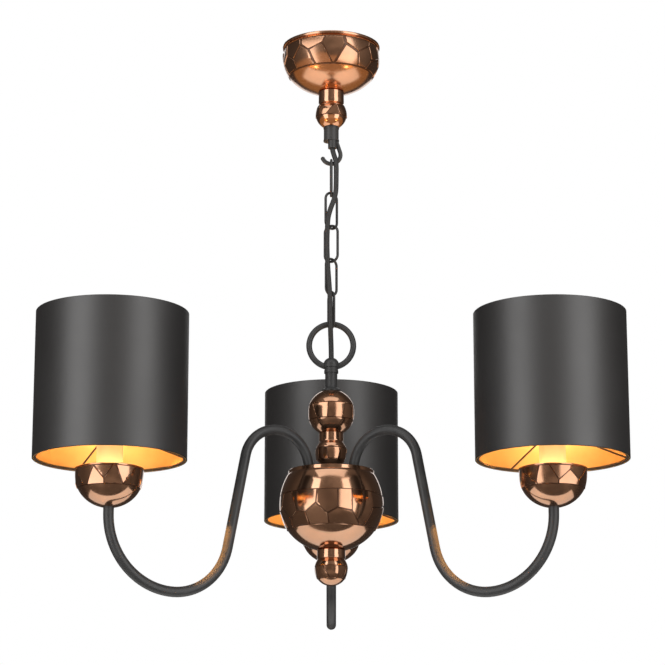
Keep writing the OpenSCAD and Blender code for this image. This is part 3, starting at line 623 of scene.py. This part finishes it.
bowl = {
    "steps": 120,
    "outside": [(42.4, -457.35), (43.2, -457.4), (43.6, -457.9), (43.6, -459.5), (43.6, -461.2)]
    + ovalPoints(52.7, 58, -492.849, 32.3, 0, 14) + ovalPoints(52.7, 47, -492.849, -3, -73.7, 26),
    "inside": [(5.2, -537.96), (5.2, -536.46)] + ovalPoints(51.2, 45.5, -492.849, -73.5, 0, 10)
    + ovalPoints(51.2, 58, -492.849, 8, 31.4, 4) + [(40, -462.55), (40, -460.35), (42.2, -460.35)],
    "band": {"top": -483.8, "bottom": -518.4, "rows": 2, "columns": 15, "skip": 0.12, "seam": 1.4,
             "depth": 0.55, "flat": 0.8, "lean": 0.08, "seed": 31},
}
finial = {
    "steps": 72, "closed": False,
    "outside": [(0, -560.7), (5.0, -560.7), (5.0, -538.16), (13.4, -538.16), (14.3, -539.0), (14.3, -541.5),
                (14.3, -544.5), (14.3, -546.6), (13.8, -547.6)] + ovalPoints(17, 17, -557.75, 34, -90, 22),
    "inside": [],
    "band": {"top": -555.6, "bottom": -568.0, "rows": 1, "columns": 9, "skip": 0, "seam": 1.1,
             "depth": 0.5, "flat": 0.7, "lean": 0.09, "seed": 42},
}
lampCup = {
    "steps": 96,
    "outside": [(32.0, -477.78), (32.6, -477.4), (33.2, -477.8), (33.2, -479.5), (33.2, -482)]
    + ovalPoints(33.2, 31, -484.781, 0, -77.8, 22),
    "inside": [(4.5, -515.08), (4.5, -513.89)] + ovalPoints(32, 29.8, -484.781, -77.5, 0, 9),
    "band": {"top": -479.2, "bottom": -497.6, "rows": 2, "columns": 9, "skip": 0.18, "seam": 1.3,
             "depth": 0.55, "flat": 0.75, "lean": 0.07, "seed": 57},
    "turns": {"left": 20, "right": 150, "back": 265},
}

turnCopper("ceiling_cup_mosaic", ceilingCup, "ceiling", "ceiling_cup", "satinCopper")
turnCopper("cup_knop_mosaic", cupKnop, "cup_knop", "cup_knop")
turnCopper("upper_ball_mosaic", upperBall, "fitting", "upper_ball")
turnCopper("centre_knop_mosaic", centreKnop, "fitting", "centre_knop")
turnCopper("bowl_mosaic", bowl, "fitting", "bowl")
turnCopper("finial_mosaic", finial, "finial", "finial")
for side, turn in lampCup["turns"].items():
    turnCopper("lamp_cup_mosaic_" + side, lampCup, "fitting", "lamp_cup_" + side, turn=turn,
               spot=lampSpot(side))
print("copper pieces turned and paved")


# drum shades, with the cloth lapped over itself at one place
shadeDrum = {"radius": 75, "wall": 1, "bottom": -468.78, "high": 146, "steps": 160, "rows": 24, "soft": 0.35,
             "overlap": 9, "overlapLift": 0.3, "overlapAt": {"left": 75, "right": 105, "back": 270},
             "outerSkin": 0.6, "edgeTilt": 0.4, "crease": 40}


def mapCloth(bm, r):
    # turns of the drum and its height, in metres
    cloth = bm.loops.layers.uv.new("clothMap")
    for face in bm.faces:
        middle = face.calc_center_median()
        home = math.atan2(middle.y, middle.x)
        for loop in face.loops:
            turn = math.atan2(loop.vert.co.y, loop.vert.co.x)
            turn += math.tau * round((home - turn) / math.tau)
            loop[cloth].uv = (turn * r * mm, loop.vert.co.z)


def lapCloth(bm, item, side):
    r = item["radius"]
    seamTurn = math.radians(item["overlapAt"][side])
    half = item["overlap"] / r / 2
    for vert in bm.verts:
        off = (math.atan2(vert.co.y, vert.co.x) - seamTurn + math.pi) % math.tau - math.pi
        if abs(off) < half and math.hypot(vert.co.x, vert.co.y) > (r - item["outerSkin"]) * mm:
            vert.co.xy *= 1 + item["overlapLift"] / r


def makeShade(item, side):
    low, high, soft = item["bottom"], item["high"], item["soft"]
    top = low + high
    r = item["radius"]
    inner = r - item["wall"]
    outside = [(r - soft, top), (r, top - soft)]
    outside += [(r, top - high * k / item["rows"]) for k in range(1, item["rows"])]
    outside += [(r, low + soft), (r - soft, low)]
    inside = [(inner + soft, low), (inner, low + soft), (inner, top - soft), (inner + soft, top)]
    bm = turnProfile(outside + inside, item["steps"])
    mapCloth(bm, r)
    lapCloth(bm, item, side)
    for face in bm.faces:
        # faces on the top and bottom edges take the board finish, which is painted dark as shade
        face.material_index = 1 if abs(face.normal.z) > item["edgeTilt"] else 0
    bmesh.ops.translate(bm, verts=bm.verts[:], vec=lampSpot(side))
    piece = finishMesh(bm, "drum_shade_" + side, finishes["cloth"], item["crease"])
    piece.data.materials.append(finishes["board"])
    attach(piece, "fitting")
    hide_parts("shade_" + side)


for side in lampAzimuth:
    makeShade(shadeDrum, side)
print("shades made")


# finishes of the solids that stay
staying = {
    "satinBlack": ["hook", "link_1", "link_2", "link_3", "link_4", "link_5", "ring", "ring_holder",
                   "bowl_cover", "arm_left", "arm_right", "arm_back"],
    "flexBlack": ["supply_lead"],
    "steel": ["ceiling_bracket", "bracket_nuts", "top_tube", "centre_tube", "arm_nuts"],
    "brass": ["earth_screw"],
    "white": ["terminal_block", "bowl_connector"],
    "wire": ["arm_wiring"],
}
# lampholders and ring nuts take the ivory finish, whose yellow is painted glow from the bulb
perLamp = {"gold": ["lining"], "bronze": ["shade_frame", "top_ring"], "steel": ["bulb_cap"],
           "ivory": ["lampholder", "ring_nut"], "bulb": ["bulb_glass"]}
for key, stems in perLamp.items():
    staying.setdefault(key, []).extend(stem + "_" + side for stem in stems for side in lampAzimuth)
for key, names in staying.items():
    for name in names:
        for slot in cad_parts[name].material_slots:
            slot.material = finishes[key]
print("finishes given to", sum(map(len, staying.values())), "solids")


# studio: pale floor, dim room that only reflections see, soft lamps, lit bulbs
floorPaper = {"at": -1.75, "from": -0.12, "to": 1.5, "half": 1.6, "squares": 8,
              "sockets": {"Base Color": (0.93, 0.92, 0.90, 1), "Roughness": 0.9,
                          "Emission Color": (1, 0.98, 0.95, 1), "Emission Strength": 0.5}}
dimRoom = {"radius": 3.2, "heights": (-1.9, -0.35, 1.7, 2.4), "steps": 72, "windowHalf": 20,
           "dim": (0.140, 0.122, 0.108), "light": (0.32, 0.283, 0.252), "back": (0.05, 0.044, 0.04),
           "darkerFrom": -2.2, "darkestAt": 1.2, "patches": {"Scale": 0.5, "Low": 0.35, "High": 0.65},
           "sockets": {"Base Color": (0, 0, 0, 1), "Roughness": 1, "Emission Strength": 1}}
softLamps = [
    {"name": "softLeft", "from": (-1.34, -1.34, -0.1), "turn": (90, 0, -45),
     "wide": 1.15, "high": 3.0, "power": 19},
    {"name": "softRight", "from": (1.34, -1.34, -0.1), "turn": (90, 0, 45),
     "wide": 1.15, "high": 3.0, "power": 19},
    {"name": "softAbove", "from": (0, -0.88, 1.15), "turn": (0, 0, 0), "wide": 1.8, "high": 0.85, "power": 5},
]
litBulb = {"height": -0.4006, "power": 0.15, "radius": 0.0215, "tone": (1.0, 0.70, 0.34)}
cupGlow = {"height": -0.4855, "power": 0.11, "size": 0.044, "tone": (1.0, 0.72, 0.32)}
upGlow = {"height": -0.32, "power": 1.9, "size": 1.6, "tone": (1.0, 0.5, 0.14)}
armSpill = {"height": -0.4006, "lean": 37, "cone": 24, "blend": 0.4, "power": 11, "radius": 0.006,
            "tone": (1.0, 0.45, 0.12)}
skyForLight = 0.3


def lightSky(forLight):
    # white where the camera or a reflection sees it, dimmer as a light
    world = bpy.data.worlds.new("studioSky")
    scene.world = world
    world.use_nodes = True
    tree = world.node_tree
    back = tree.nodes["Background"]
    back.inputs["Color"].default_value = (1, 1, 1, 1)
    path = addNode(tree, "ShaderNodeLightPath")
    seen = path.outputs["Is Camera Ray"]
    for kind in ("Is Glossy Ray", "Is Transmission Ray"):
        both = addNode(tree, "ShaderNodeMath", operation="MAXIMUM")
        tree.links.new(seen, both.inputs[0])
        tree.links.new(path.outputs[kind], both.inputs[1])
        seen = both.outputs["Value"]
    tree.links.new(mapValue(tree, seen, forLight, 1), back.inputs["Strength"])


def layFloor(item):
    bm = bmesh.new()
    deep = item["to"] - item["from"]
    bmesh.ops.create_grid(bm, x_segments=item["squares"], y_segments=item["squares"], size=0.5)
    bmesh.ops.scale(bm, verts=bm.verts[:], vec=(2 * item["half"], deep, 1))
    bmesh.ops.translate(bm, verts=bm.verts[:], vec=(0, item["from"] + deep / 2, item["at"]))
    finishMesh(bm, "pale_floor", newFinish("paleFloorPaper", **item["sockets"])[0])


def makeFelt(item):
    # patchy and dim, and darker behind the lamps
    felt, tree, shader = newFinish("dimRoomFelt", **item["sockets"])
    shine = mixColours(tree, useGroup(tree, softPatches, **item["patches"]), item["dim"], item["light"])
    place = addNode(tree, "ShaderNodeTexCoord")
    depth = addNode(tree, "ShaderNodeSeparateXYZ")
    behind = addNode(tree, "ShaderNodeMapRange")
    behind.inputs["From Min"].default_value = item["darkerFrom"]
    behind.inputs["From Max"].default_value = item["darkestAt"]
    tree.links.new(place.outputs["Object"], depth.inputs["Vector"])
    tree.links.new(depth.outputs["Y"], behind.inputs["Value"])
    shine = mixColours(tree, behind.outputs["Result"], shine, item["back"])
    tree.links.new(shine, shader.inputs["Emission Color"])
    return felt


def closeRoom(item):
    # a round room with a window behind the lamps, so that only their edges catch the white beyond
    bm = bmesh.new()
    line = [bm.verts.new((0, -item["radius"], z)) for z in item["heights"]]
    edges = [bm.edges.new(pair) for pair in zip(line, line[1:])]
    bmesh.ops.spin(bm, geom=line + edges, cent=(0, 0, 0), axis=(0, 0, 1), angle=math.tau,
                   steps=item["steps"], use_merge=True)
    low, sill, lintel, top = item["heights"]
    windowFrom = item["radius"] * math.cos(math.radians(item["windowHalf"]))
    middles = {face: face.calc_center_median() for face in bm.faces}
    window = [face for face, middle in middles.items() if sill < middle.z < lintel and middle.y > windowFrom]
    bmesh.ops.delete(bm, geom=window, context="FACES")
    for z in (low, top):
        bmesh.ops.create_circle(bm, cap_ends=True, radius=item["radius"], segments=item["steps"],
                                matrix=Matrix.Translation((0, 0, z)))
    room = finishMesh(bm, "dim_room", makeFelt(item))
    room.visible_camera = False
    room.visible_diffuse = False
    room.visible_shadow = False
    room.visible_transmission = False


def placeLight(light, place, turn=(0, 0, 0)):
    lamp = bpy.data.objects.new(light.name, light)
    lamp.location = place
    lamp.rotation_euler = [math.radians(angle) for angle in turn]
    lamp.visible_camera = False
    scene.collection.objects.link(lamp)
    return lamp


def hangLamp(item):
    light = bpy.data.lights.new(item["name"], "AREA")
    light.shape = "RECTANGLE"
    light.size = item["wide"]
    light.size_y = item["high"]
    light.energy = item["power"]
    placeLight(light, item["from"], item["turn"])


def lightBulb(item, side):
    light = bpy.data.lights.new("bulbLight_" + side, "POINT")
    light.energy = item["power"]
    light.shadow_soft_size = item["radius"]
    light.color = item["tone"]
    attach(placeLight(light, lampSpot(side) + Vector((0, 0, item["height"]))), "fitting")
    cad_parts["bulb_glass_" + side].visible_shadow = False


def lightCup(item, side):
    # light that the polished inside of the cup throws back up
    light = bpy.data.lights.new("cupLight_" + side, "AREA")
    light.shape = "DISK"
    light.size = item["size"]
    light.energy = item["power"]
    light.color = item["tone"]
    lamp = placeLight(light, lampSpot(side) + Vector((0, 0, item["height"])), (180, 0, 0))
    lamp.visible_glossy = False
    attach(lamp, "fitting")


def lightCeilingCup(item):
    # warm light out of the three shades, seen only in the polished copper above them
    light = bpy.data.lights.new("upLight", "AREA")
    light.shape = "DISK"
    light.size = item["size"]
    light.energy = item["power"]
    light.color = item["tone"]
    lamp = placeLight(light, (0, 0, item["height"]), (180, 0, 0))
    lamp.visible_diffuse = False
    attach(lamp, "fitting")


def lightArm(item, side):
    # light of the bulb that falls out of the shade on its arm
    light = bpy.data.lights.new("armLight_" + side, "SPOT")
    light.energy = item["power"]
    light.spot_size = math.radians(item["cone"])
    light.spot_blend = item["blend"]
    light.shadow_soft_size = item["radius"]
    light.color = item["tone"]
    lamp = placeLight(light, lampSpot(side) + Vector((0, 0, item["height"])))
    lean = math.radians(item["lean"])
    aim = -lampSpot(side).normalized() * math.sin(lean) - Vector((0, 0, math.cos(lean)))
    lamp.rotation_euler = aim.to_track_quat("-Z", "Y").to_euler()
    lamp.visible_glossy = False
    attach(lamp, "fitting")


lightSky(skyForLight)
layFloor(floorPaper)
closeRoom(dimRoom)
for lamp in softLamps:
    hangLamp(lamp)
lightCeilingCup(upGlow)
for side in lampAzimuth:
    lightBulb(litBulb, side)
    lightCup(cupGlow, side)
    lightArm(armSpill, side)
scene.view_settings.view_transform = "Standard"
print("studio lit")
